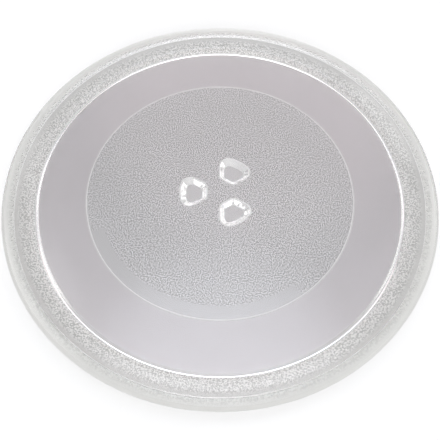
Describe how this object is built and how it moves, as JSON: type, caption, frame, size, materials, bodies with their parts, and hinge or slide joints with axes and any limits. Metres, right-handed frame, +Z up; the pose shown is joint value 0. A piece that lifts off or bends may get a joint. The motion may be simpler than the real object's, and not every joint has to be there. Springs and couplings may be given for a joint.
{
  "type": "microwave turntable plate",
  "caption": "Round pressed-glass microwave turntable plate with a low sloped rim, a smooth roller track and drive lugs under its middle for the motor coupler.",
  "frame": {"origin": "on the axis of turning, in the plane of the lug feet", "axes": "+Z up along the axis of turning, +X along the gap between two lugs"},
  "size_m": [0.245, 0.245, 0.0131],
  "materials": {
    "glass": "clear pressed glass, smooth above, finely stippled below"
  },
  "bodies": {
    "root": {"glass_plate": "glass"}
  },
  "joints": []
}
